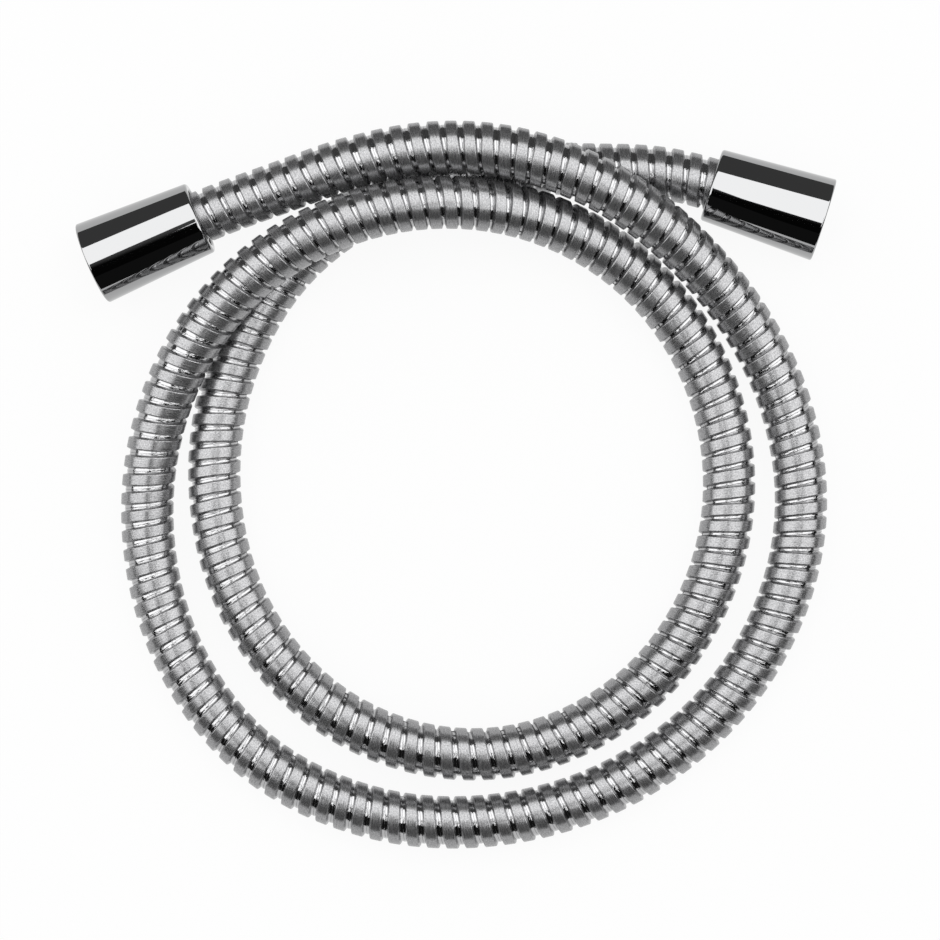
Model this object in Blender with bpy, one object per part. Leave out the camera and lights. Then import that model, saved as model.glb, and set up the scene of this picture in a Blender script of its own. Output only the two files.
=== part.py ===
"""Flexible metal shower hose lying in two loose turns, with a conical coupling nut at each end.

The hose is a wound metal casing round a rubber inner tube. At each end a barbed brass nipple
fills the tube, a ferrule is crimped over the casing, and a conical nut turns freely behind the
nipple's flange and draws it against a rubber washer. Metres, +Z up, X and Y in the plane that
the coil lies on, origin under the middle of the whole hose.
"""

from math import atan2, cos, degrees, pi, radians, sin, tan

import bmesh
import bpy
from mathutils import Matrix, Vector

MM = 0.001

# Hose section
CASING_DIAMETER = 14.6 * MM
CASING_WALL = 1.2 * MM
TUBE_CLEARANCE = 0.3 * MM
TUBE_WALL = 1.5 * MM

# Conical nut, for a half-inch pipe thread; the thread itself is left as its inner diameter
NUT_LENGTH = 32.7 * MM
NUT_MOUTH_DIAMETER = 23.5 * MM
NUT_TAIL_DIAMETER = 20.5 * MM
NUT_EDGE = 0.5 * MM
THREAD_DIAMETER = 20.9 * MM
THREAD_DEPTH = 1.15 * MM
THREAD_LENGTH = 9.2 * MM
SPIGOT_ROOM = 9.7 * MM

# Washer, nipple and ferrule
SEAT_GAP = 0.3 * MM
RUNNING_GAP = 0.25 * MM
WASHER_THICKNESS = 2.0 * MM
WASHER_BORE = 10.5 * MM
WASHER_EDGE = 0.3 * MM
WASHER_GRIP = 0.2 * MM
FLANGE_CLEARANCE = 0.2 * MM
FLANGE_THICKNESS = 1.6 * MM
FLANGE_EDGE = 0.3 * MM
NECK_DIAMETER = 8.8 * MM
WATERWAY_DIAMETER = 5.2 * MM
WATERWAY_CHAMFER = 0.6 * MM
BARB_COUNT = 4
BARB_PITCH = 3.2 * MM
BARB_HEIGHT = 0.45 * MM
FERRULE_LENGTH = 15.0 * MM
FERRULE_WALL = 0.45 * MM
FERRULE_LIP = 0.6 * MM
CRIMP_COUNT = 3
CRIMP_DEPTH = 0.15 * MM
CRIMP_WIDTH = 1.4 * MM

# Lay of the coil. Each end has its tail's angle about the coil's middle and its distance outside
# the coil's circle in mm, the heading from the nut's mouth to its tail, and the tilt of that
# heading. The nut that lies flat rests along its cone.
COIL_RADIUS = 85.0 * MM
COIL_MIDDLE_X = 5.1 * MM
LEFT_TAIL = (135.5, 21.5)
LEFT_HEADING = 22.8
LEFT_TILT = 3.0
RIGHT_TAIL = (-668.0, 21.6)
RIGHT_HEADING = 162.2
RIGHT_TILT = -degrees(atan2(NUT_MOUTH_DIAMETER - NUT_TAIL_DIAMETER, 2 * NUT_LENGTH))

# Route of the hose between the nuts, clockwise: the angle in degrees, how far outside the coil's
# circle in mm, and the lift off the surface in hose diameters. It starts over the last stretch,
# crosses it twice and ends on the surface.
ROUTE = [
    (124, 14.1, 0.58), (111, 10.6, 0.77), (98, 9.1, 0.91), (87, 7.8, 1.01), (77, 6.3, 1.04),
    (67, 4.9, 0.98), (57, 3.7, 0.77), (46, 2.9, 0.47), (33, 3.0, 0.20), (16, 4.3, 0.04),
    (-4, 6.0, 0), (-30, 6.6, 0), (-57, 6.5, 0), (-83, 7.6, 0), (-108, 10.1, 0),
    (-130, 11.5, 0), (-151, 9.7, 0), (-171, 7.0, 0.08), (-190, 4.5, 0.32), (-209, 1.9, 0.73),
    (-228, -0.9, 0.98), (-246, -3.8, 1.05), (-264, -6.3, 0.97), (-283, -8.4, 0.62), (-303, -10.4, 0.24),
    (-324, -12.4, 0.04), (-348, -13.9, 0), (-380, -14.1, 0), (-413, -12.4, 0), (-446, -10.6, 0),
    (-479, -11.0, 0), (-511, -12.5, 0), (-541, -12.4, 0), (-567, -9.5, 0), (-591, -4.8, 0),
    (-613, -0.8, 0), (-632, 3.2, 0), (-650, 9.1, 0.02), (-662, 17.5, 0.13),
]  # fmt: skip
PATH_POINT_COUNT = 72
SAMPLES_PER_DEGREE = 4

# Fineness of the round pieces
HOSE_BEVEL_RESOLUTION = 4
NUT_SIDES = 36
FITTING_SIDES = 24
FILLET_STEPS = 2
SHARP_EDGE = 28

# Radii that follow. The flats of the tube's bore lie nearer to its middle than its corners.
CASING_RADIUS = CASING_DIAMETER / 2
TUBE_RADIUS = CASING_RADIUS - CASING_WALL - TUBE_CLEARANCE
TUBE_SIDES = 4 + 2 * HOSE_BEVEL_RESOLUTION
BARB_RADIUS = (TUBE_RADIUS - TUBE_WALL) * cos(pi / TUBE_SIDES) - SEAT_GAP
FERRULE_BORE_RADIUS = CASING_RADIUS + RUNNING_GAP
FERRULE_RADIUS = FERRULE_BORE_RADIUS + FERRULE_WALL
NUT_BORE_RADIUS = FERRULE_RADIUS + RUNNING_GAP
THREAD_RADIUS = THREAD_DIAMETER / 2
CREST_RADIUS = THREAD_RADIUS - THREAD_DEPTH
WASHER_RADIUS = CREST_RADIUS + WASHER_GRIP
FLANGE_RADIUS = CREST_RADIUS - FLANGE_CLEARANCE

# Stations along each nut's axis, from its mouth
WASHER_START = SPIGOT_ROOM
FLANGE_START = WASHER_START + WASHER_THICKNESS + SEAT_GAP
NECK_START = FLANGE_START + FLANGE_THICKNESS
SHOULDER = NECK_START + SEAT_GAP
FERRULE_START = SHOULDER
HOSE_START = FERRULE_START + FERRULE_LIP + SEAT_GAP


def clear_scene():
    for obj in list(bpy.data.objects):
        bpy.data.objects.remove(obj)


def material(name, colour, roughness, metallic):
    made = bpy.data.materials.new(name)
    made.use_nodes = True
    shader = made.node_tree.nodes["Principled BSDF"]
    shader.inputs["Base Color"].default_value = (*colour, 1)
    shader.inputs["Roughness"].default_value = roughness
    shader.inputs["Metallic"].default_value = metallic
    return made


def add_object(name, data, finish, parent=None):
    data.materials.append(finish)
    obj = bpy.data.objects.new(name, data)
    bpy.context.scene.collection.objects.link(obj)
    obj.parent = parent
    return obj


# The lay of the coil


def polar(angle, radius, height):
    """A point from its angle in degrees, radius and height about the coil's middle."""
    turned_by = radians(angle)
    return Vector((COIL_MIDDLE_X + radius * cos(turned_by), radius * sin(turned_by), height))


def heading_vector(heading, tilt):
    """The unit vector at a heading in the plane, tilted up from it, both in degrees."""
    level = cos(radians(tilt))
    return Vector((level * cos(radians(heading)), level * sin(radians(heading)), sin(radians(tilt))))


def nut_frame(tail, heading, tilt):
    """A nut's frame: origin at its mouth, Z along its axis to its tail, its mouth on the surface."""
    axis = heading_vector(heading, tilt)
    mouth_height = NUT_MOUTH_DIAMETER / 2 * cos(radians(tilt))
    tail_height = mouth_height + NUT_LENGTH * axis.z
    mouth = polar(tail[0], COIL_RADIUS + tail[1] * MM, tail_height) - axis * NUT_LENGTH
    side = axis.cross(Vector((0, 0, 1))).normalized()
    up = side.cross(axis)
    turn = Matrix((-side, up, axis)).transposed()
    return Matrix.Translation(mouth) @ turn.to_4x4()


def end_row(tail, frame, travel):
    """The route at a nut's tail: angle, radius, height, and how the last two grow with the angle."""
    place = frame @ Vector((0, 0, NUT_LENGTH))
    outward = Vector((cos(radians(tail[0])), sin(radians(tail[0])), 0))
    around = Vector((-outward.y, outward.x, 0))
    radius = COIL_RADIUS + tail[1] * MM
    length_per_degree = radians(1) * radius / travel.dot(around)
    radius_slope = travel.dot(outward) * length_per_degree
    height_slope = travel.z * length_per_degree
    return tail[0], radius, place.z, radius_slope, height_slope


def middle_slopes(before, here, after):
    """How radius and height grow with the angle at a row, from the rows on each side of it.

    The height never overshoots a row, so that the hose doesn't dip into the surface: a cubic keeps
    between its ends while its slopes are at most three times the straight line's.
    """
    share = (here[0] - before[0]) / (after[0] - before[0])
    slopes = []
    for column in (1, 2):
        first = (here[column] - before[column]) / (here[0] - before[0])
        second = (after[column] - here[column]) / (after[0] - here[0])
        slopes.append(first * (1 - share) + second * share)
    steepest = 3 * min(abs(first), abs(second)) if first * second > 0 else 0
    slopes[1] = max(-steepest, min(steepest, slopes[1]))
    return slopes


def route_rows(left_frame, right_frame):
    """Every row of the route as angle, radius, height, radius slope and height slope."""
    left_travel = left_frame.col[2].xyz
    right_travel = -right_frame.col[2].xyz
    first = end_row(LEFT_TAIL, left_frame, left_travel)
    last = end_row(RIGHT_TAIL, right_frame, right_travel)
    bare = [first[:3]]
    for angle, outside, lift in ROUTE:
        bare.append((angle, COIL_RADIUS + outside * MM, CASING_RADIUS + lift * CASING_DIAMETER))
    bare.append(last[:3])
    rows = [first]
    for before, here, after in zip(bare, bare[1:], bare[2:]):
        rows.append((*here, *middle_slopes(before, here, after)))
    return rows + [last]


def hermite(share, span, low, high, low_slope, high_slope):
    """A cubic from low to high over the span, with the given slopes at its ends."""
    square = share * share
    cube = square * share
    return (
        (2 * cube - 3 * square + 1) * low
        + (cube - 2 * square + share) * span * low_slope
        + (3 * square - 2 * cube) * high
        + (cube - square) * span * high_slope
    )


def hose_path(left_frame, right_frame):
    """Evenly spaced points along the hose's middle, from inside one nut to inside the other."""
    dense = [left_frame @ Vector((0, 0, HOSE_START))]
    rows = route_rows(left_frame, right_frame)
    for low, high in zip(rows, rows[1:]):
        span = high[0] - low[0]
        steps = round(abs(span) * SAMPLES_PER_DEGREE)
        for step in range(steps):
            share = step / steps
            radius = hermite(share, span, low[1], high[1], low[3], high[3])
            height = hermite(share, span, low[2], high[2], low[4], high[4])
            dense.append(polar(low[0] + share * span, radius, height))
    dense.append(right_frame @ Vector((0, 0, NUT_LENGTH)))
    dense.append(right_frame @ Vector((0, 0, HOSE_START)))
    return evenly_spaced(dense, PATH_POINT_COUNT)


def evenly_spaced(dense, count):
    """Points at equal lengths along a polyline, its ends included."""
    travelled = [0.0]
    for here, after in zip(dense, dense[1:]):
        travelled.append(travelled[-1] + (after - here).length)
    picked = []
    index = 0
    for number in range(count):
        wanted = travelled[-1] * number / (count - 1)
        while index < len(dense) - 2 and travelled[index + 1] < wanted:
            index += 1
        share = (wanted - travelled[index]) / (travelled[index + 1] - travelled[index])
        picked.append(dense[index].lerp(dense[index + 1], share))
    return picked


# The hose


def hollow_tube(name, path, radius, wall, finish):
    """An open-ended tube along the path: a round bevelled curve, thickened inwards."""
    curve = bpy.data.curves.new(name, "CURVE")
    curve.dimensions = "3D"
    curve.bevel_depth = radius
    curve.bevel_resolution = HOSE_BEVEL_RESOLUTION
    spline = curve.splines.new("POLY")
    spline.points.add(len(path) - 1)
    for point, place in zip(spline.points, path):
        point.co = (*place, 1)
    spline.use_smooth = True
    obj = add_object(name, curve, finish)
    shell = obj.modifiers.new("wall", "SOLIDIFY")
    shell.thickness = wall
    shell.offset = -1
    return obj


# Turned pieces


def filleted(corners):
    """An outline's points, with an arc in place of each corner that has a radius.

    A corner is (station along the axis, radius from the axis, fillet radius).
    """
    outline = []
    for index, (station, radius, fillet) in enumerate(corners):
        here = Vector((station, radius))
        if not fillet:
            outline.append(here)
            continue
        back = (Vector(corners[index - 1][:2]) - here).normalized()
        ahead = (Vector(corners[(index + 1) % len(corners)][:2]) - here).normalized()
        half = back.angle(ahead) / 2
        centre = here + (back + ahead).normalized() * fillet / sin(half)
        start = here + back * fillet / tan(half) - centre
        end = here + ahead * fillet / tan(half) - centre
        for step in range(FILLET_STEPS + 1):
            outline.append(centre + start.lerp(end, step / FILLET_STEPS).normalized() * fillet)
    return outline


def turned(name, corners, sides, finish, frame):
    """A ring-shaped piece turned about its frame's Z axis from a closed outline."""
    mesh = bpy.data.meshes.new(name)
    shape = bmesh.new()
    points = [shape.verts.new((radius, 0, station)) for station, radius in filleted(corners)]
    edges = [shape.edges.new((points[i - 1], points[i])) for i in range(len(points))]
    bmesh.ops.spin(
        shape, geom=points + edges, cent=(0, 0, 0), axis=(0, 0, 1), angle=2 * pi, steps=sides, use_merge=True
    )
    bmesh.ops.recalc_face_normals(shape, faces=shape.faces)
    shape.to_mesh(mesh)
    shape.free()
    mesh.shade_smooth()
    mesh.set_sharp_from_angle(angle=radians(SHARP_EDGE))
    return add_object(name, mesh, finish, frame)


def conical_nut(side, finish, frame):
    """The nut: cone outside, thread and relief in its mouth, a shoulder, and a plain bore behind."""
    lead_in = THREAD_DEPTH / 2
    corners = [
        (0, NUT_MOUTH_DIAMETER / 2, NUT_EDGE),
        (NUT_LENGTH, NUT_TAIL_DIAMETER / 2, NUT_EDGE),
        (NUT_LENGTH, NUT_BORE_RADIUS, NUT_EDGE),
        (SHOULDER, NUT_BORE_RADIUS, 0),
        (SHOULDER, THREAD_RADIUS, 0),
        (THREAD_LENGTH, THREAD_RADIUS, 0),
        (THREAD_LENGTH - lead_in, CREST_RADIUS, 0),
        (lead_in, CREST_RADIUS, 0),
        (0, THREAD_RADIUS, 0),
    ]
    return turned(f"{side}_conical_nut", corners, NUT_SIDES, finish, frame)


def seal_washer(side, finish, frame):
    """The flat rubber washer in front of the flange. The thread's end keeps it in the nut."""
    end = WASHER_START + WASHER_THICKNESS
    corners = [
        (WASHER_START, WASHER_RADIUS, WASHER_EDGE),
        (end, WASHER_RADIUS, WASHER_EDGE),
        (end, WASHER_BORE / 2, 0),
        (WASHER_START, WASHER_BORE / 2, 0),
    ]
    return turned(f"{side}_seal_washer", corners, NUT_SIDES, finish, frame)


def barbed_nipple(side, finish, frame):
    """The nipple: a flange that the nut pulls on, a neck, and a barbed tail inside the tube.

    The flange is small enough to pass through the thread when the nut is put on from behind.
    """
    bore = WATERWAY_DIAMETER / 2
    root = BARB_RADIUS - BARB_HEIGHT
    neck_end = HOSE_START - SEAT_GAP
    corners = [
        (FLANGE_START, FLANGE_RADIUS, FLANGE_EDGE),
        (NECK_START, FLANGE_RADIUS, FLANGE_EDGE),
        (NECK_START, NECK_DIAMETER / 2, 0),
        (neck_end, NECK_DIAMETER / 2, 0),
        (neck_end, root, 0),
    ]
    for barb in range(BARB_COUNT):
        start = HOSE_START + BARB_PITCH * barb
        corners.append((start, root, 0))
        corners.append((start, BARB_RADIUS, 0))
    tip = HOSE_START + BARB_PITCH * BARB_COUNT
    corners.append((tip, root, 0))
    corners.append((tip, bore, 0))
    corners.append((FLANGE_START + WATERWAY_CHAMFER, bore, 0))
    corners.append((FLANGE_START, bore + WATERWAY_CHAMFER, 0))
    return turned(f"{side}_barbed_nipple", corners, FITTING_SIDES, finish, frame)


def crimp_ferrule(side, finish, frame):
    """The sleeve crimped over the casing's end, its lip hooked round the nipple's neck."""
    lip_hole = NECK_DIAMETER / 2 + SEAT_GAP
    end = FERRULE_START + FERRULE_LENGTH
    corners = [
        (FERRULE_START, lip_hole, 0),
        (FERRULE_START, FERRULE_RADIUS, FERRULE_LIP / 2),
    ]
    room = (FERRULE_LENGTH - FERRULE_LIP) / (CRIMP_COUNT + 1)
    for crimp in range(CRIMP_COUNT):
        middle = FERRULE_START + FERRULE_LIP + room * (crimp + 1)
        corners.append((middle - CRIMP_WIDTH / 2, FERRULE_RADIUS, 0))
        corners.append((middle, FERRULE_RADIUS - CRIMP_DEPTH, 0))
        corners.append((middle + CRIMP_WIDTH / 2, FERRULE_RADIUS, 0))
    corners.append((end, FERRULE_RADIUS, 0))
    corners.append((end, FERRULE_BORE_RADIUS, 0))
    corners.append((FERRULE_START + FERRULE_LIP, FERRULE_BORE_RADIUS, 0))
    corners.append((FERRULE_START + FERRULE_LIP, lip_hole, 0))
    return turned(f"{side}_crimp_ferrule", corners, FITTING_SIDES, finish, frame)


def end_fitting(side, matrix, finishes):
    """The pieces at one end of the hose, on an empty whose Z axis is the nut's."""
    frame = bpy.data.objects.new(f"{side}_end", None)
    bpy.context.scene.collection.objects.link(frame)
    frame.matrix_world = matrix
    conical_nut(side, finishes["chrome"], frame)
    seal_washer(side, finishes["washer"], frame)
    barbed_nipple(side, finishes["brass"], frame)
    crimp_ferrule(side, finishes["ferrule"], frame)


def main():
    clear_scene()
    finishes = {
        "casing": material("satin_steel_strip", (0.60, 0.60, 0.61), 0.32, 1.0),
        "chrome": material("polished_chrome", (0.86, 0.87, 0.88), 0.04, 1.0),
        "brass": material("turned_brass", (0.78, 0.58, 0.28), 0.28, 1.0),
        "ferrule": material("plain_steel", (0.62, 0.61, 0.59), 0.35, 1.0),
        "washer": material("black_rubber", (0.03, 0.03, 0.03), 0.75, 0.0),
        "tube": material("tube_rubber", (0.06, 0.06, 0.065), 0.6, 0.0),
    }
    left = nut_frame(LEFT_TAIL, LEFT_HEADING, LEFT_TILT)
    right = nut_frame(RIGHT_TAIL, RIGHT_HEADING, RIGHT_TILT)
    path = hose_path(left, right)
    hollow_tube("hose_casing", path, CASING_RADIUS, CASING_WALL, finishes["casing"])
    hollow_tube("inner_tube", path, TUBE_RADIUS, TUBE_WALL, finishes["tube"])
    end_fitting("left", left, finishes)
    end_fitting("right", right, finishes)


main()
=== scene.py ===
"""Looks of the flexible metal shower hose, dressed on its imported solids.

A wound strip of satin steel with polished grooves takes the place of the plain casing, and the
nuts, washers, nipples and ferrules get their threads, rounded edges and finishes. Metres, +Z up.
"""

from math import atan2, cos, degrees, pi, radians, sin, tan

import bmesh
import bpy
import numpy as np
from mathutils import Matrix, Vector

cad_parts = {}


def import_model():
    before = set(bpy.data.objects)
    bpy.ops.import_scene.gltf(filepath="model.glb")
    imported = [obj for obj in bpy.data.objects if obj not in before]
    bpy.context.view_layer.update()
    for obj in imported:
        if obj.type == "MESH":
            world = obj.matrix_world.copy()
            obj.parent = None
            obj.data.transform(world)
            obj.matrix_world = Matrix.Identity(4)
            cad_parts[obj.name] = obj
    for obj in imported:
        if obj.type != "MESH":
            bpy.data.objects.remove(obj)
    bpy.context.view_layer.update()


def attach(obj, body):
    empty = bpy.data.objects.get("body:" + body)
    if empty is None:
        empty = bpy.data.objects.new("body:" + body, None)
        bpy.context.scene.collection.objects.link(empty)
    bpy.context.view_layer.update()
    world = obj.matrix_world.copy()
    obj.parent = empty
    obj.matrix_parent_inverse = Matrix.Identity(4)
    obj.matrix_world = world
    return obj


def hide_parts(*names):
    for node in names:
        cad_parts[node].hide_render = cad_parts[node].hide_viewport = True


MM = 0.001

# Camera: straight above the coil, with the picture's top towards +Y
PICTURE_PIXELS = 940
FOCAL_PIXELS = 3540
SENSOR = 36.0
CAMERA_PLACE = Vector((3.71, 4.74, 993.5)) * MM

# Hose section
CASING_DIAMETER = 14.6 * MM
CASING_WALL = 1.2 * MM
TUBE_CLEARANCE = 0.3 * MM
TUBE_WALL = 1.5 * MM

# Conical nut
NUT_LENGTH = 32.7 * MM
NUT_MOUTH_DIAMETER = 23.5 * MM
NUT_TAIL_DIAMETER = 20.5 * MM
NUT_MOUTH_EDGE = 0.5 * MM
NUT_TAIL_EDGE = 0.8 * MM
NUT_BORE_EDGE = 0.5 * MM
THREAD_DIAMETER = 20.9 * MM
THREAD_DEPTH = 1.15 * MM
THREAD_LENGTH = 9.2 * MM
THREAD_PITCH = 1.814 * MM
CREST_SLACK = 0.1 * MM
SPIGOT_ROOM = 9.7 * MM

# Washer, nipple and ferrule
SEAT_GAP = 0.3 * MM
RUNNING_GAP = 0.25 * MM
WASHER_THICKNESS = 2.0 * MM
WASHER_BORE = 10.5 * MM
WASHER_EDGE = 0.3 * MM
WASHER_GRIP = 0.2 * MM
FLANGE_CLEARANCE = 0.2 * MM
FLANGE_THICKNESS = 1.6 * MM
FLANGE_EDGE = 0.3 * MM
NECK_DIAMETER = 8.8 * MM
WATERWAY_DIAMETER = 5.2 * MM
WATERWAY_CHAMFER = 0.6 * MM
BARB_COUNT = 4
BARB_PITCH = 3.2 * MM
BARB_HEIGHT = 0.45 * MM
FERRULE_LENGTH = 15.0 * MM
FERRULE_WALL = 0.45 * MM
FERRULE_LIP = 0.6 * MM
CRIMP_COUNT = 3
CRIMP_DEPTH = 0.15 * MM
CRIMP_WIDTH = 1.4 * MM
TUBE_BORE_FLATS = 12

# Lay of the coil: tails as angle and distance outside the coil's circle, then heading and tilt
COIL_RADIUS = 85.0 * MM
COIL_MIDDLE_X = 5.1 * MM
LEFT_TAIL = (135.5, 21.5)
LEFT_HEADING = 22.8
LEFT_TILT = 3.0
RIGHT_TAIL = (-668.0, 21.6)
RIGHT_HEADING = 162.2
RIGHT_TILT = -degrees(atan2(NUT_MOUTH_DIAMETER - NUT_TAIL_DIAMETER, 2 * NUT_LENGTH))

# Route between the nuts: angle, mm outside the coil's circle, and lift in hose diameters
ROUTE = [
    (124, 14.1, 0.58), (111, 10.6, 0.77), (98, 9.1, 0.91), (87, 7.8, 1.01), (77, 6.3, 1.04),
    (67, 4.9, 0.98), (57, 3.7, 0.77), (46, 2.9, 0.47), (33, 3.0, 0.20), (16, 4.3, 0.04),
    (-4, 6.0, 0), (-30, 6.6, 0), (-57, 6.5, 0), (-83, 7.6, 0), (-108, 10.1, 0),
    (-130, 11.5, 0), (-151, 9.7, 0), (-171, 7.0, 0.08), (-190, 4.5, 0.32), (-209, 1.9, 0.73),
    (-228, -0.9, 0.98), (-246, -3.8, 1.05), (-264, -6.3, 0.97), (-283, -8.4, 0.62),
    (-303, -10.4, 0.24), (-324, -12.4, 0.04), (-348, -13.9, 0), (-380, -14.1, 0),
    (-413, -12.4, 0), (-446, -10.6, 0), (-479, -11.0, 0), (-511, -12.5, 0), (-541, -12.4, 0),
    (-567, -9.5, 0), (-591, -4.8, 0), (-613, -0.8, 0), (-632, 3.2, 0), (-650, 9.1, 0.02),
    (-662, 17.5, 0.13),
]  # fmt: skip
SAMPLES_PER_DEGREE = 4
PATH_SPACING = 1.0 * MM

# Wound strip: mm along the hose and turns made, since laying it down stretched some of it
WINDING = [
    (0, 0.70), (31, 7.08), (84.5, 18.09), (159, 34.09), (229, 48.09),
    (275.5, 58.09), (323, 68.08), (403.5, 84.08), (458, 95.08), (547.5, 113.08),
    (578, 119.08), (615.5, 127.08), (643, 133.09), (679, 141.0), (741, 154.09),
    (834.5, 174.09), (888, 185.09), (933, 194.09), (996, 207.09), (1062.5, 221.09),
    (1223, 254.45),
]  # fmt: skip
WINDING_PITCH = 4.82 * MM
STRIP_STEPS_ROUND = 32
SHELF_RADIUS = 6.15 * MM
BAND_WIDTH = 3.75 * MM
BAND_LEAN = 0.28 * MM
BAND_ROUNDING = 0.35 * MM
ROUNDING_STEPS = 3
SEAM_OFFSET = 4.3 * MM
SEAM_HEIGHT = 0.09 * MM

# Slots of the wound strip's two finishes
SATIN, POLISHED = range(2)

# Fineness of the turned pieces, and how smooth shading treats edges
SIDES = 96
FILLET_STEPS = 5
THREAD_ROWS_PER_PITCH = 12
SHARP_EDGE = 35
WIDE_FACE_WEIGHT = 100

# Finishes: linear colours, roughness from low to high, noise cells per metre on each axis, and
# how deep a bump is
NOISE_RANGE = (0.3, 0.7)
SATIN_METALLIC = 0.85
SATIN_DARK = (0.17, 0.17, 0.175)
SATIN_LIGHT = (0.44, 0.44, 0.445)
SATIN_ROUGHNESS = (0.22, 0.34)
SATIN_GRAIN = (2300, 2300, 1)
SATIN_STREAKS = (220, 2600, 1)
SATIN_DEPTH = 0.02 * MM
FOLD_COLOUR = (0.43, 0.43, 0.435)
FOLD_ROUGHNESS = (0.05, 0.13)
FOLD_HAZE = (200, 2000, 1)
FOLD_WAVES = (600, 2600, 1)
FOLD_DEPTH = 0.12 * MM
CHROME_COLOUR = (0.355, 0.357, 0.36)
CHROME_ROUGHNESS = (0.015, 0.035)
CHROME_HAZE = (180, 180, 180)
BRASS_DARK = (0.66, 0.46, 0.20)
BRASS_LIGHT = (0.84, 0.63, 0.32)
BRASS_ROUGHNESS = (0.18, 0.34)
BRASS_RINGS = (0, 0, 9000)
BRASS_CLOUDS = (400, 400, 400)
SLEEVE_COLOUR = (0.60, 0.59, 0.57)
SLEEVE_ROUGHNESS = (0.25, 0.42)
SLEEVE_MARKS = (1500, 1500, 75)
WASHER_COLOUR = (0.022, 0.022, 0.023)
TUBE_COLOUR = (0.035, 0.035, 0.037)
RUBBER_CONTRAST = 2.2
RUBBER_ROUGHNESS = (0.6, 0.85)
RUBBER_GRAIN = (2500, 2500, 2500)
RUBBER_DEPTH = 0.02 * MM
RUBBER_BUMP_STRENGTH = 0.6

# Studio: a wide diffuser overhead, cards that stand round the picture, and a dark room
DIFFUSER_HEIGHT = 0.95
DIFFUSER = [
    (-4.5, -0.6), (0, -0.4), (4.5, -0.5), (4.5, 1.6), (0.4, 1.25), (-0.62, 1.2), (-0.62, 0.9),
    (-1.6, 0.8), (-4.5, 0.8),
]  # fmt: skip
DIFFUSER_STRENGTH = 2.4
CAMERA_RIG = [
    (-0.17, -0.45), (-0.14, -0.03), (-0.127, 0.0), (-0.102, 0.043), (-0.09, 0.055), (-0.055, 0.055),
    (-0.055, -0.075), (-0.012, -0.055), (0.025, -0.04), (0.03, -0.2), (0.15, -0.45),
]  # fmt: skip
RIG_HEIGHT = 0.6
RIG_GLOW_FROM = (-0.14, 0.003)
RIG_GLOW_TO = (0.03, 0.12)
BOOM = [(0.08, -0.12), (0.17, -0.12), (0.17, 0.08), (0.08, 0.08)]
SMALL_LAMP = [(-0.02, -0.62), (0.02, -0.62), (0.02, -0.58), (-0.02, -0.58)]
LAMP_HEIGHT = 0.94
TOP_CARD = [
    (-1.5, 0.242, 0.16), (-0.165, 0.157, 0.14), (-0.118, 0.155, 0.097),
    (-0.08, 0.152, 0.08), (0.085, 0.131, 0.07), (1.5, 0.131, 0.07),
]  # fmt: skip
RIGHT_CARD = [(0.26, -1.0, 0.075), (0.26, 1.0, 0.075)]
FRONT_CARD = [(-1.5, -0.24, 0.05), (1.5, -0.24, 0.05)]
BACK_WALL = [(-5.0, 2.4, 2.2), (5.0, 2.4, 2.2)]
GREY_STRENGTH = 0.09
DARK_STRENGTH = 0.012
ROOM_RADIUS = 6.0
ROOM_SEGMENTS = 48

# Floor, surroundings and key light, which light what isn't a mirror
FLOOR_SIZE = 14.0
FLOOR_DROP = 0.1 * MM
FLOOR_WHITE = 0.9
FLOOR_ROUGHNESS = 0.9
FLOOR_SHADOW_SHARE = 0.08
FILL_STRENGTH = 0.8
KEY_WIDTH = 1.6
KEY_DEPTH = 0.9
KEY_POWER = 6.0
KEY_PLACE = (0, 0.5, 1.4)

# Radii and stations that follow
CASING_RADIUS = CASING_DIAMETER / 2
TUBE_RADIUS = CASING_RADIUS - CASING_WALL - TUBE_CLEARANCE
BARB_RADIUS = (TUBE_RADIUS - TUBE_WALL) * cos(pi / TUBE_BORE_FLATS) - SEAT_GAP
FERRULE_BORE_RADIUS = CASING_RADIUS + RUNNING_GAP
FERRULE_RADIUS = FERRULE_BORE_RADIUS + FERRULE_WALL
NUT_BORE_RADIUS = FERRULE_RADIUS + RUNNING_GAP
THREAD_RADIUS = THREAD_DIAMETER / 2
CREST_RADIUS = THREAD_RADIUS - THREAD_DEPTH
WASHER_RADIUS = CREST_RADIUS + WASHER_GRIP
FLANGE_RADIUS = CREST_RADIUS - FLANGE_CLEARANCE
WASHER_START = SPIGOT_ROOM
FLANGE_START = WASHER_START + WASHER_THICKNESS + SEAT_GAP
NECK_START = FLANGE_START + FLANGE_THICKNESS
SHOULDER = NECK_START + SEAT_GAP
FERRULE_START = SHOULDER
HOSE_START = FERRULE_START + FERRULE_LIP + SEAT_GAP


# Camera


def add_camera():
    data = bpy.data.cameras.new("camera")
    data.sensor_width = SENSOR
    data.lens = SENSOR * FOCAL_PIXELS / PICTURE_PIXELS
    camera = bpy.data.objects.new("camera", data)
    camera.location = CAMERA_PLACE
    bpy.context.scene.collection.objects.link(camera)
    bpy.context.scene.camera = camera


# The lay of the coil


def polar(angle, radius, height):
    """A point from its angle in degrees, radius and height about the coil's middle."""
    turned_by = radians(angle)
    return Vector((COIL_MIDDLE_X + radius * cos(turned_by), radius * sin(turned_by), height))


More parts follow.
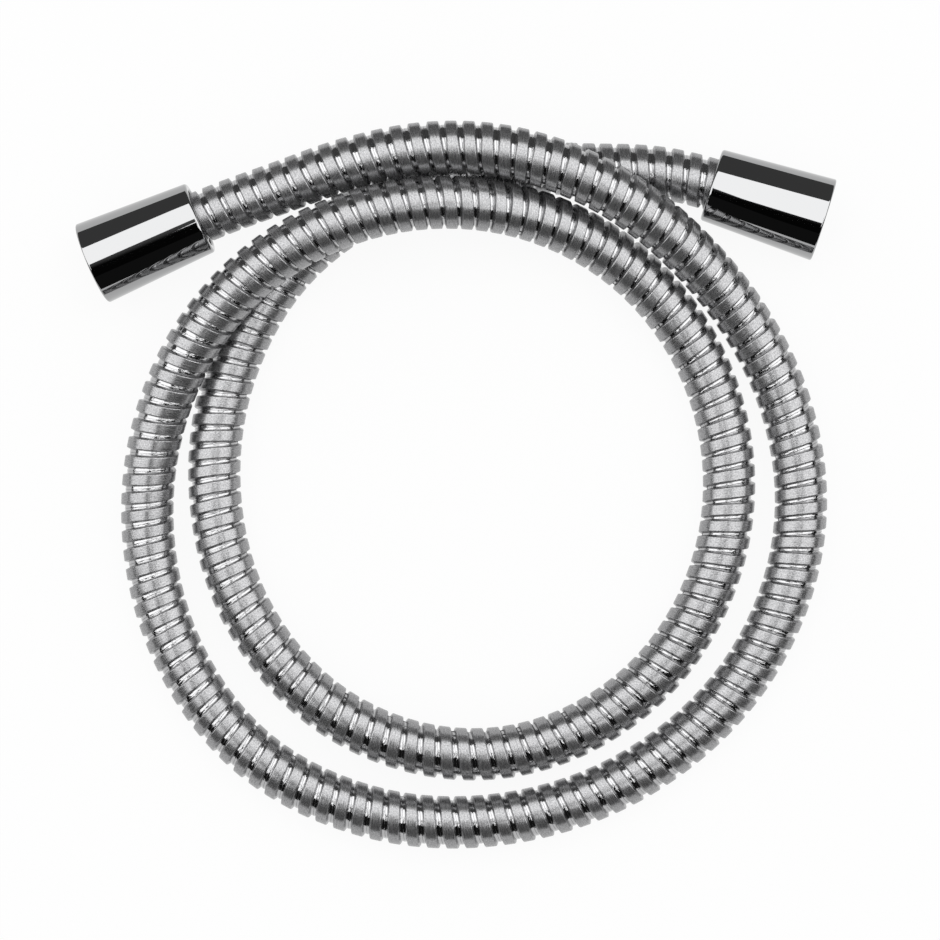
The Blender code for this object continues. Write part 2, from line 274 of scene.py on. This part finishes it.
def nut_frame(tail, heading, tilt):
    """A nut's frame: origin at its mouth, which rests on the floor, and Z along its axis."""
    level = cos(radians(tilt))
    turned_by = radians(heading)
    axis = Vector((level * cos(turned_by), level * sin(turned_by), sin(radians(tilt))))
    mouth_height = NUT_MOUTH_DIAMETER / 2 * level
    tail_height = mouth_height + NUT_LENGTH * axis.z
    mouth = polar(tail[0], COIL_RADIUS + tail[1] * MM, tail_height) - axis * NUT_LENGTH
    side = axis.cross(Vector((0, 0, 1))).normalized()
    up = side.cross(axis)
    turn = Matrix((-side, up, axis)).transposed()
    return Matrix.Translation(mouth) @ turn.to_4x4()


def end_row(tail, frame, travel):
    """The route at a nut's tail: angle, radius, height, and how those two grow with the angle."""
    place = frame @ Vector((0, 0, NUT_LENGTH))
    outward = Vector((cos(radians(tail[0])), sin(radians(tail[0])), 0))
    around = Vector((-outward.y, outward.x, 0))
    radius = COIL_RADIUS + tail[1] * MM
    length_per_degree = radians(1) * radius / travel.dot(around)
    radius_slope = travel.dot(outward) * length_per_degree
    height_slope = travel.z * length_per_degree
    return tail[0], radius, place.z, radius_slope, height_slope


def middle_slopes(before, here, after):
    """How radius and height grow with the angle at a row, with a height that never overshoots."""
    share = (here[0] - before[0]) / (after[0] - before[0])
    slopes = []
    for column in (1, 2):
        first = (here[column] - before[column]) / (here[0] - before[0])
        second = (after[column] - here[column]) / (after[0] - here[0])
        slopes.append(first * (1 - share) + second * share)
    # The last column is the height, and a cubic stays between its ends up to three times this slope
    steepest = 3 * min(abs(first), abs(second)) if first * second > 0 else 0
    slopes[1] = max(-steepest, min(steepest, slopes[1]))
    return slopes


def route_rows(left_frame, right_frame):
    """Every row of the route as angle, radius, height, radius slope and height slope."""
    first = end_row(LEFT_TAIL, left_frame, left_frame.col[2].xyz)
    last = end_row(RIGHT_TAIL, right_frame, -right_frame.col[2].xyz)
    bare = [first[:3]]
    for angle, outside, lift in ROUTE:
        bare.append((angle, COIL_RADIUS + outside * MM, CASING_RADIUS + lift * CASING_DIAMETER))
    bare.append(last[:3])
    rows = [first]
    for before, here, after in zip(bare, bare[1:], bare[2:]):
        rows.append((*here, *middle_slopes(before, here, after)))
    return rows + [last]


def hermite(share, span, low, high, low_slope, high_slope):
    """A cubic from low to high over the span, with the given slopes at its ends."""
    square = share * share
    cube = square * share
    return (
        (2 * cube - 3 * square + 1) * low
        + (cube - 2 * square + share) * span * low_slope
        + (3 * square - 2 * cube) * high
        + (cube - square) * span * high_slope
    )


def hose_path(left_frame, right_frame):
    """Points close together along the hose's middle, from inside one nut to inside the other."""
    dense = [left_frame @ Vector((0, 0, HOSE_START))]
    rows = route_rows(left_frame, right_frame)
    for low, high in zip(rows, rows[1:]):
        span = high[0] - low[0]
        steps = round(abs(span) * SAMPLES_PER_DEGREE)
        for step in range(steps):
            share = step / steps
            radius = hermite(share, span, low[1], high[1], low[3], high[3])
            height = hermite(share, span, low[2], high[2], low[4], high[4])
            dense.append(polar(low[0] + share * span, radius, height))
    dense.append(right_frame @ Vector((0, 0, NUT_LENGTH)))
    dense.append(right_frame @ Vector((0, 0, HOSE_START)))
    points = np.array(dense)
    travelled = np.concatenate(([0], np.cumsum(np.linalg.norm(np.diff(points, axis=0), axis=1))))
    even = np.linspace(0, travelled[-1], round(travelled[-1] / PATH_SPACING) + 1)
    return np.column_stack([np.interp(even, travelled, points[:, axis]) for axis in range(3)])


# Meshes


def add_object(name, data):
    obj = bpy.data.objects.new(name, data)
    bpy.context.scene.collection.objects.link(obj)
    return obj


def smoothed(obj):
    """Smooth shading in which the wide faces stay flat and the small edge faces do the turning."""
    obj.data.shade_smooth()
    obj.data.set_sharp_from_angle(angle=radians(SHARP_EDGE))
    normals = obj.modifiers.new("normals", "WEIGHTED_NORMAL")
    normals.weight = WIDE_FACE_WEIGHT
    normals.keep_sharp = True
    return obj


# The wound strip


def unit(rows):
    return rows / np.linalg.norm(rows, axis=1)[:, None]


class Line:
    """The hose's middle line by distance along it: place, left, up and bend."""

    def __init__(self, path):
        gaps = np.linalg.norm(np.diff(path, axis=0), axis=1)
        self.distance = np.concatenate(([0], np.cumsum(gaps)))
        self.length = self.distance[-1]
        travel = unit(np.gradient(path, self.distance, axis=0))
        right = unit(np.cross(travel, (0, 0, 1)))
        self.columns = {
            "place": path,
            "left": -right,
            "up": np.cross(right, travel),
            "bend": np.gradient(travel, self.distance, axis=0),
        }

    def at(self, name, distance):
        """One of the columns, read between the path's points."""
        axes = self.columns[name].T
        return np.stack([np.interp(distance, self.distance, axis) for axis in axes], axis=-1)

    def outward(self, angle, distance):
        """The direction away from the line at an angle round it."""
        return np.cos(angle) * self.at("left", distance) + np.sin(angle) * self.at("up", distance)


def strip_profile():
    """The strip's outline from one turn to the next: offset along the hose, radius and slot.

    It climbs from the groove's shelf over a rounded edge, runs along the band, and comes down the
    same way to the shelf, whose seam is a small step. The slot is the finish of the stretch that
    follows the point.
    """
    rise = [(0, SHELF_RADIUS)]
    for step in range(ROUNDING_STEPS + 1):
        angle = pi / 2 * step / ROUNDING_STEPS
        offset = BAND_LEAN + BAND_ROUNDING * (1 - cos(angle))
        rise.append((offset, CASING_RADIUS - BAND_ROUNDING * (1 - sin(angle))))
    fall = [(BAND_WIDTH - offset, radius) for offset, radius in reversed(rise)]
    foot = fall.pop()
    seam = [(SEAM_OFFSET, SHELF_RADIUS), (SEAM_OFFSET + SEAM_HEIGHT, SHELF_RADIUS + SEAM_HEIGHT)]
    band = [(*point, SATIN) for point in rise + fall]
    return band + [(*point, POLISHED) for point in (foot, *seam)]


def turns_along(line):
    """How many turns the strip has made at each of the line's distances."""
    places, turns = np.array(WINDING).T
    return np.interp(line.distance, places * MM, turns)


def wound_strip(line):
    """The casing: one strip wound round the line, its bands keeping their width on the bends."""
    turns = turns_along(line)
    profile = strip_profile()
    start = int(np.ceil(turns[0] * STRIP_STEPS_ROUND))
    stop = int(np.floor((turns[-1] - 1) * STRIP_STEPS_ROUND))
    steps = np.arange(start, stop + 1)
    base = np.interp(steps / STRIP_STEPS_ROUND, turns, line.distance)
    angle = 2 * pi * steps[:, None] / STRIP_STEPS_ROUND
    inward_bend = (line.outward(angle, base) * line.at("bend", base)).sum(axis=1)
    rings = []
    for offset, radius, _ in profile:
        # Inside a bend the surface is shorter than the line, so an offset spans more of the line
        place = base + offset / (1 - radius * inward_bend)
        rings.append(line.at("place", place) + radius * line.outward(angle, place))
    vertices = np.stack(rings, axis=1)
    faces, slots, along, across = strip_faces(len(steps), profile)
    mesh = bpy.data.meshes.new("wound_casing")
    mesh.from_pydata(vertices.reshape(-1, 3), [], faces)
    mesh.polygons.foreach_set("material_index", slots)
    layer = mesh.uv_layers.new(name="strip")
    layer.uv.foreach_set("vector", np.stack((along, across), axis=-1).ravel())
    mesh.materials.append(satin_steel())
    mesh.materials.append(polished_steel())
    return smoothed(add_object("wound_casing", mesh))


def strip_faces(count, profile):
    """Faces of the strip with their slots, and the place along and across it of each corner.

    The last stretch of each turn joins the start of the next turn.
    """
    width = len(profile)
    step_length = 2 * pi * CASING_RADIUS / STRIP_STEPS_ROUND
    offsets = [point[0] for point in profile] + [WINDING_PITCH]
    faces, slots, along, across = [], [], [], []
    for stretch in range(width):
        last = stretch == width - 1
        number = np.arange(count - 1 - (STRIP_STEPS_ROUND if last else 0))
        low = number * width + stretch
        ahead = (number + STRIP_STEPS_ROUND) * width if last else low + 1
        faces.append(np.stack((low, low + width, ahead + width, ahead), axis=1))
        slots.append(np.full(len(number), profile[stretch][2]))
        near, far = number * step_length, (number + 1) * step_length
        along.append(np.stack((near, far, far, near), axis=1))
        inner, outer = offsets[stretch : stretch + 2]
        across.append(np.tile((inner, inner, outer, outer), (len(number), 1)))
    return (
        np.concatenate(faces).tolist(),
        np.concatenate(slots),
        np.concatenate(along).ravel(),
        np.concatenate(across).ravel(),
    )


# Turned pieces


def filleted(corners):
    """An outline's points, with an arc in place of each corner that has a radius.

    A corner is (station along the axis, radius from the axis, fillet radius).
    """
    outline = []
    for index, (station, radius, fillet) in enumerate(corners):
        here = Vector((station, radius))
        if not fillet:
            outline.append(here)
            continue
        back = (Vector(corners[index - 1][:2]) - here).normalized()
        ahead = (Vector(corners[(index + 1) % len(corners)][:2]) - here).normalized()
        half = back.angle(ahead) / 2
        centre = here + (back + ahead).normalized() * fillet / sin(half)
        start = here + back * fillet / tan(half) - centre
        end = here + ahead * fillet / tan(half) - centre
        for step in range(FILLET_STEPS + 1):
            outline.append(centre + start.lerp(end, step / FILLET_STEPS).normalized() * fillet)
    return outline


def turned(name, corners, finish, frame):
    """A ring-shaped piece turned about its frame's Z axis.

    Its closed outline runs along the outside towards +Z and back along the bore.
    """
    station, radius = np.array(filleted(corners)).T
    angle = 2 * pi * np.arange(SIDES)[:, None] / SIDES
    height = np.tile(station, (SIDES, 1))
    vertices = np.stack((radius * np.cos(angle), radius * np.sin(angle), height), axis=-1)
    here = np.arange(height.size).reshape(height.shape)
    beside = np.roll(here, -1, axis=0)
    quads = (here, beside, np.roll(beside, -1, axis=1), np.roll(here, -1, axis=1))
    faces = np.stack(quads, axis=-1).reshape(-1, 4)
    mesh = bpy.data.meshes.new(name)
    mesh.from_pydata(vertices.reshape(-1, 3), [], faces.tolist())
    mesh.materials.append(finish)
    obj = smoothed(add_object(name, mesh))
    obj.matrix_world = frame
    return obj


def cut_thread(nut, start, end):
    """Turns the plain bore between two stations into a thread, by moving its rows outwards."""
    for vertex in nut.data.vertices:
        x, y, station = vertex.co
        radius = (x * x + y * y) ** 0.5
        if abs(radius - CREST_RADIUS) > CREST_SLACK or not start < station < end:
            continue
        turn = station / THREAD_PITCH - atan2(y, x) / (2 * pi)
        wave = 0.5 - 0.5 * cos(2 * pi * turn)
        run_out = min(1, (station - start) / THREAD_PITCH, (end - station) / THREAD_PITCH)
        scale = 1 + THREAD_DEPTH * wave * run_out / radius
        vertex.co = (x * scale, y * scale, station)


def conical_nut(side, finish, frame):
    """The nut: a smooth cone, a threaded mouth, a relief, a shoulder, and a plain bore behind."""
    lead_in = THREAD_DEPTH / 2
    corners = [
        (0, NUT_MOUTH_DIAMETER / 2, NUT_MOUTH_EDGE),
        (NUT_LENGTH, NUT_TAIL_DIAMETER / 2, NUT_TAIL_EDGE),
        (NUT_LENGTH, NUT_BORE_RADIUS, NUT_BORE_EDGE),
        (SHOULDER, NUT_BORE_RADIUS, 0),
        (SHOULDER, THREAD_RADIUS, 0),
        (THREAD_LENGTH, THREAD_RADIUS, 0),
    ]
    first, last = lead_in, THREAD_LENGTH - lead_in
    rows = round((last - first) / THREAD_PITCH * THREAD_ROWS_PER_PITCH)
    for row in range(rows + 1):
        corners.append((last + (first - last) * row / rows, CREST_RADIUS, 0))
    corners.append((0, THREAD_RADIUS, 0))
    nut = turned(f"{side}_nut_shell", corners, finish, frame)
    cut_thread(nut, first, last)
    return nut


def seal_washer(side, finish, frame):
    """The flat rubber washer in front of the flange."""
    end = WASHER_START + WASHER_THICKNESS
    corners = [
        (WASHER_START, WASHER_RADIUS, WASHER_EDGE),
        (end, WASHER_RADIUS, WASHER_EDGE),
        (end, WASHER_BORE / 2, WASHER_EDGE),
        (WASHER_START, WASHER_BORE / 2, WASHER_EDGE),
    ]
    return turned(f"{side}_washer_ring", corners, finish, frame)


def barbed_nipple(side, finish, frame):
    """The nipple: a flange that the nut pulls on, a neck, and a barbed tail inside the tube."""
    bore = WATERWAY_DIAMETER / 2
    root = BARB_RADIUS - BARB_HEIGHT
    neck_end = HOSE_START - SEAT_GAP
    corners = [
        (FLANGE_START, FLANGE_RADIUS, FLANGE_EDGE),
        (NECK_START, FLANGE_RADIUS, FLANGE_EDGE),
        (NECK_START, NECK_DIAMETER / 2, 0),
        (neck_end, NECK_DIAMETER / 2, 0),
        (neck_end, root, 0),
    ]
    for barb in range(BARB_COUNT):
        start = HOSE_START + BARB_PITCH * barb
        corners.append((start, root, 0))
        corners.append((start, BARB_RADIUS, 0))
    tip = HOSE_START + BARB_PITCH * BARB_COUNT
    corners.append((tip, root, 0))
    corners.append((tip, bore, 0))
    corners.append((FLANGE_START + WATERWAY_CHAMFER, bore, 0))
    corners.append((FLANGE_START, bore + WATERWAY_CHAMFER, 0))
    return turned(f"{side}_nipple_insert", corners, finish, frame)


def crimp_ferrule(side, finish, frame):
    """The sleeve crimped over the casing's end, its lip hooked round the nipple's neck."""
    lip_hole = NECK_DIAMETER / 2 + SEAT_GAP
    end = FERRULE_START + FERRULE_LENGTH
    corners = [
        (FERRULE_START, lip_hole, 0),
        (FERRULE_START, FERRULE_RADIUS, FERRULE_LIP / 2),
    ]
    room = (FERRULE_LENGTH - FERRULE_LIP) / (CRIMP_COUNT + 1)
    for crimp in range(CRIMP_COUNT):
        middle = FERRULE_START + FERRULE_LIP + room * (crimp + 1)
        corners.append((middle - CRIMP_WIDTH / 2, FERRULE_RADIUS, 0))
        corners.append((middle, FERRULE_RADIUS - CRIMP_DEPTH, CRIMP_WIDTH / 2))
        corners.append((middle + CRIMP_WIDTH / 2, FERRULE_RADIUS, 0))
    corners.append((end, FERRULE_RADIUS, 0))
    corners.append((end, FERRULE_BORE_RADIUS, 0))
    corners.append((FERRULE_START + FERRULE_LIP, FERRULE_BORE_RADIUS, 0))
    corners.append((FERRULE_START + FERRULE_LIP, lip_hole, 0))
    return turned(f"{side}_ferrule_sleeve", corners, finish, frame)


# Materials


class Finish:
    """A procedural material: a Principled shader and the nodes that feed it."""

    def __init__(self, name, metallic):
        self.material = bpy.data.materials.new(name)
        self.material.use_nodes = True
        self.nodes = self.material.node_tree.nodes
        self.links = self.material.node_tree.links
        self.shader = self.nodes["Principled BSDF"]
        self.shader.inputs["Metallic"].default_value = metallic

    def node(self, kind, values):
        made = self.nodes.new(kind)
        for name, value in values.items():
            made.inputs[name].default_value = value
        return made

    def noise(self, output, cells, detail=3.0, roughness=0.5):
        """Noise over a coordinate output, with its cells per metre on each axis."""
        source = self.nodes.new("ShaderNodeTexCoord")
        mapping = self.node("ShaderNodeMapping", {"Scale": cells})
        values = {"Scale": 1.0, "Detail": detail, "Roughness": roughness}
        made = self.node("ShaderNodeTexNoise", values)
        self.links.new(source.outputs[output], mapping.inputs["Vector"])
        self.links.new(mapping.outputs["Vector"], made.inputs["Vector"])
        return made.outputs["Fac"]

    def spread(self, value, low, high):
        """A noise's middle range mapped from low to high."""
        least, most = NOISE_RANGE
        values = {"From Min": least, "From Max": most, "To Min": low, "To Max": high}
        made = self.node("ShaderNodeMapRange", values)
        self.links.new(value, made.inputs["Value"])
        return made.outputs["Result"]

    def paint(self, colour):
        """One colour all over."""
        self.shader.inputs["Base Color"].default_value = (*colour, 1)

    def tint(self, value, dark, light):
        """A colour between two colours by a value."""
        made = self.nodes.new("ShaderNodeMix")
        made.data_type = "RGBA"
        colours = [socket for socket in made.inputs if socket.type == "RGBA"]
        colours[0].default_value = (*dark, 1)
        colours[1].default_value = (*light, 1)
        self.links.new(value, made.inputs["Factor"])
        outputs = [socket for socket in made.outputs if socket.type == "RGBA"]
        self.links.new(outputs[0], self.shader.inputs["Base Color"])

    def roughen(self, value, low, high):
        """Roughness from low to high by a noise."""
        self.links.new(self.spread(value, low, high), self.shader.inputs["Roughness"])

    def bump(self, height, distance, strength=1.0):
        made = self.node("ShaderNodeBump", {"Strength": strength, "Distance": distance})
        self.links.new(height, made.inputs["Height"])
        self.links.new(made.outputs["Normal"], self.shader.inputs["Normal"])


def satin_steel():
    """Frosted strip: a coarse matt grain, with brushed streaks that run along the strip."""
    finish = Finish("satin_strip", SATIN_METALLIC)
    streaks = finish.noise("UV", SATIN_STREAKS, roughness=0.6)
    grain = finish.noise("UV", SATIN_GRAIN, roughness=0.7)
    finish.tint(finish.spread(grain, 0, 1), SATIN_DARK, SATIN_LIGHT)
    finish.roughen(streaks, *SATIN_ROUGHNESS)
    finish.bump(streaks, SATIN_DEPTH)
    return finish.material


def polished_steel():
    """The strip's inner folds, bright from the rolling mill and slightly wavy."""
    finish = Finish("bright_strip", 1.0)
    finish.paint(FOLD_COLOUR)
    finish.roughen(finish.noise("UV", FOLD_HAZE, detail=2.0), *FOLD_ROUGHNESS)
    finish.bump(finish.noise("UV", FOLD_WAVES, detail=2.0), FOLD_DEPTH)
    return finish.material


def polished_chrome():
    """Mirror plating with the faintest unevenness."""
    finish = Finish("mirror_chrome", 1.0)
    finish.paint(CHROME_COLOUR)
    finish.roughen(finish.noise("Object", CHROME_HAZE, detail=2.0), *CHROME_ROUGHNESS)
    return finish.material


def turned_brass():
    """Brass with fine lathe rings round the nut's axis."""
    finish = Finish("lathe_brass", 1.0)
    finish.tint(finish.noise("Object", BRASS_CLOUDS, detail=2.0), BRASS_DARK, BRASS_LIGHT)
    finish.roughen(finish.noise("Object", BRASS_RINGS, detail=2.0), *BRASS_ROUGHNESS)
    return finish.material


def plain_steel():
    """Drawn sleeve with lengthwise marks."""
    finish = Finish("drawn_steel", 1.0)
    finish.paint(SLEEVE_COLOUR)
    finish.roughen(finish.noise("Object", SLEEVE_MARKS), *SLEEVE_ROUGHNESS)
    return finish.material


def black_rubber(name, colour):
    """Moulded rubber with a fine dull grain."""
    finish = Finish(name, 0.0)
    grain = finish.noise("Object", RUBBER_GRAIN)
    finish.tint(grain, colour, tuple(RUBBER_CONTRAST * part for part in colour))
    finish.roughen(grain, *RUBBER_ROUGHNESS)
    finish.bump(grain, RUBBER_DEPTH, RUBBER_BUMP_STRENGTH)
    return finish.material


# Studio


def emission(name, strength):
    made = bpy.data.materials.new(name)
    made.use_nodes = True
    nodes = made.node_tree.nodes
    nodes.clear()
    light = nodes.new("ShaderNodeEmission")
    light.inputs["Strength"].default_value = strength
    output = nodes.new("ShaderNodeOutputMaterial")
    made.node_tree.links.new(light.outputs["Emission"], output.inputs["Surface"])
    return made


def rig_cloth():
    """Dark cloth round the camera, a little lit along its upper side."""
    made = emission("rig_cloth", 0)
    tree = made.node_tree
    place = tree.nodes.new("ShaderNodeTexCoord")
    parts = tree.nodes.new("ShaderNodeSeparateXYZ")
    level = tree.nodes.new("ShaderNodeMapRange")
    level.interpolation_type = "SMOOTHSTEP"
    for end, (y, strength) in (("Min", RIG_GLOW_FROM), ("Max", RIG_GLOW_TO)):
        level.inputs[f"From {end}"].default_value = y
        level.inputs[f"To {end}"].default_value = strength
    tree.links.new(place.outputs["Object"], parts.inputs["Vector"])
    tree.links.new(parts.outputs["Y"], level.inputs["Value"])
    tree.links.new(level.outputs["Result"], tree.nodes["Emission"].inputs["Strength"])
    return made


def add_reflected(name, mesh):
    """Adds a studio piece that only shows in reflections."""
    piece = add_object(name, mesh)
    piece.visible_camera = False
    piece.visible_diffuse = False
    piece.visible_shadow = False


def level_mesh(name, corners, height, finish):
    """A level face at a height."""
    mesh = bpy.data.meshes.new(name)
    mesh.from_pydata([(x, y, height) for x, y in corners], [], [range(len(corners))])
    mesh.materials.append(finish)
    return mesh


def add_panel(name, corners, height, finish):
    """A level panel that only shows in reflections."""
    add_reflected(name, level_mesh(name, corners, height, finish))


def add_card(name, posts, finish):
    """A folded card that stands on the floor: x, y and height at each of its posts."""
    feet = [(x, y, 0) for x, y, _ in posts]
    count = len(posts)
    faces = [(post, post + 1, count + post + 1, count + post) for post in range(count - 1)]
    mesh = bpy.data.meshes.new(name)
    mesh.from_pydata(feet + posts, [], faces)
    mesh.materials.append(finish)
    add_reflected(name, mesh)


def add_room(finish):
    """A dome over the floor."""
    mesh = bpy.data.meshes.new("dark_room")
    shape = bmesh.new()
    bmesh.ops.create_uvsphere(
        shape, u_segments=ROOM_SEGMENTS, v_segments=ROOM_SEGMENTS // 2, radius=ROOM_RADIUS
    )
    below = [vertex for vertex in shape.verts if vertex.co.z < -FLOOR_DROP]
    bmesh.ops.delete(shape, geom=below, context="VERTS")
    shape.to_mesh(mesh)
    shape.free()
    mesh.materials.append(finish)
    add_reflected("dark_room", mesh)


def seen_directly(tree):
    """One for the rays that show the surroundings: camera, glossy and transmission rays."""
    path = tree.nodes.new("ShaderNodeLightPath")
    total = path.outputs["Is Camera Ray"]
    for name in ("Is Glossy Ray", "Is Transmission Ray"):
        larger = tree.nodes.new("ShaderNodeMath")
        larger.operation = "MAXIMUM"
        tree.links.new(total, larger.inputs[0])
        tree.links.new(path.outputs[name], larger.inputs[1])
        total = larger.outputs["Value"]
    return total


def floor_finish():
    """White where it is seen, with a share of lit white that keeps the object's soft shadow."""
    made = bpy.data.materials.new("pale_floor")
    made.use_nodes = True
    tree = made.node_tree
    shader = tree.nodes["Principled BSDF"]
    shader.inputs["Base Color"].default_value = (FLOOR_WHITE, FLOOR_WHITE, FLOOR_WHITE, 1)
    shader.inputs["Roughness"].default_value = FLOOR_ROUGHNESS
    shader.inputs["Specular IOR Level"].default_value = 0.0
    glow = tree.nodes.new("ShaderNodeEmission")
    mix = tree.nodes.new("ShaderNodeMixShader")
    share = tree.nodes.new("ShaderNodeMath")
    share.operation = "MULTIPLY"
    share.inputs[1].default_value = 1 - FLOOR_SHADOW_SHARE
    tree.links.new(seen_directly(tree), share.inputs[0])
    tree.links.new(share.outputs["Value"], mix.inputs["Fac"])
    tree.links.new(shader.outputs["BSDF"], mix.inputs[1])
    tree.links.new(glow.outputs["Emission"], mix.inputs[2])
    tree.links.new(mix.outputs["Shader"], tree.nodes["Material Output"].inputs["Surface"])
    return made


def add_floor():
    half = FLOOR_SIZE / 2
    corners = [(-half, -half), (half, -half), (half, half), (-half, half)]
    mesh = level_mesh("floor", corners, -FLOOR_DROP, floor_finish())
    add_object("floor", mesh)


def add_world():
    """White surroundings, with a plain level of light for what isn't a mirror."""
    world = bpy.data.worlds.new("surroundings")
    bpy.context.scene.world = world
    world.use_nodes = True
    tree = world.node_tree
    background = tree.nodes["Background"]
    background.inputs["Color"].default_value = (1, 1, 1, 1)
    level = tree.nodes.new("ShaderNodeMapRange")
    level.inputs["To Min"].default_value = FILL_STRENGTH
    level.inputs["To Max"].default_value = 1.0
    tree.links.new(seen_directly(tree), level.inputs["Value"])
    tree.links.new(level.outputs["Result"], background.inputs["Strength"])


def add_key_light():
    """The softbox's light on what isn't a mirror."""
    data = bpy.data.lights.new("key", "AREA")
    data.shape = "RECTANGLE"
    data.size = KEY_WIDTH
    data.size_y = KEY_DEPTH
    data.energy = KEY_POWER
    key = add_object("key", data)
    key.location = KEY_PLACE
    key.rotation_euler = (-atan2(KEY_PLACE[1], KEY_PLACE[2]), 0, 0)
    key.visible_camera = False
    key.visible_glossy = False


def add_studio():
    glow = emission("diffuser_cloth", DIFFUSER_STRENGTH)
    dark = emission("dark_cloth", DARK_STRENGTH)
    grey = emission("grey_card", GREY_STRENGTH)
    white = emission("white_card", 1.0)
    add_panel("diffuser", DIFFUSER, DIFFUSER_HEIGHT, glow)
    add_panel("camera_rig", CAMERA_RIG, RIG_HEIGHT, rig_cloth())
    add_panel("boom", BOOM, RIG_HEIGHT, dark)
    add_panel("small_lamp", SMALL_LAMP, LAMP_HEIGHT, white)
    add_card("top_card", TOP_CARD, grey)
    add_card("back_wall", BACK_WALL, grey)
    add_card("right_card", RIGHT_CARD, dark)
    add_card("front_card", FRONT_CARD, white)
    add_room(dark)
    add_floor()
    add_world()
    add_key_light()


# Assembly


def dress(piece, node, body):
    """A piece that takes a node's place: it joins the node's body, and the node is hidden."""
    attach(piece, body)
    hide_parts(node)


def main():
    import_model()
    bpy.context.scene.view_settings.view_transform = "Standard"
    add_camera()
    left = nut_frame(LEFT_TAIL, LEFT_HEADING, LEFT_TILT)
    right = nut_frame(RIGHT_TAIL, RIGHT_HEADING, RIGHT_TILT)
    path = hose_path(left, right)
    line = Line(path)
    casing = wound_strip(line)
    dress(casing, "hose_casing", "hose")
    chrome, brass, sleeve = polished_chrome(), turned_brass(), plain_steel()
    rubber = black_rubber("washer_rubber", WASHER_COLOUR)
    for side, frame in (("left", left), ("right", right)):
        nut_body = f"{side}_nut"
        dress(conical_nut(side, chrome, frame), f"{side}_conical_nut", nut_body)
        dress(seal_washer(side, rubber, frame), f"{side}_seal_washer", nut_body)
        dress(barbed_nipple(side, brass, frame), f"{side}_barbed_nipple", "hose")
        dress(crimp_ferrule(side, sleeve, frame), f"{side}_crimp_ferrule", "hose")
    tube = bpy.data.objects["inner_tube"]
    tube.data.materials.clear()
    tube.data.materials.append(black_rubber("tube_rubber", TUBE_COLOUR))
    add_studio()


main()
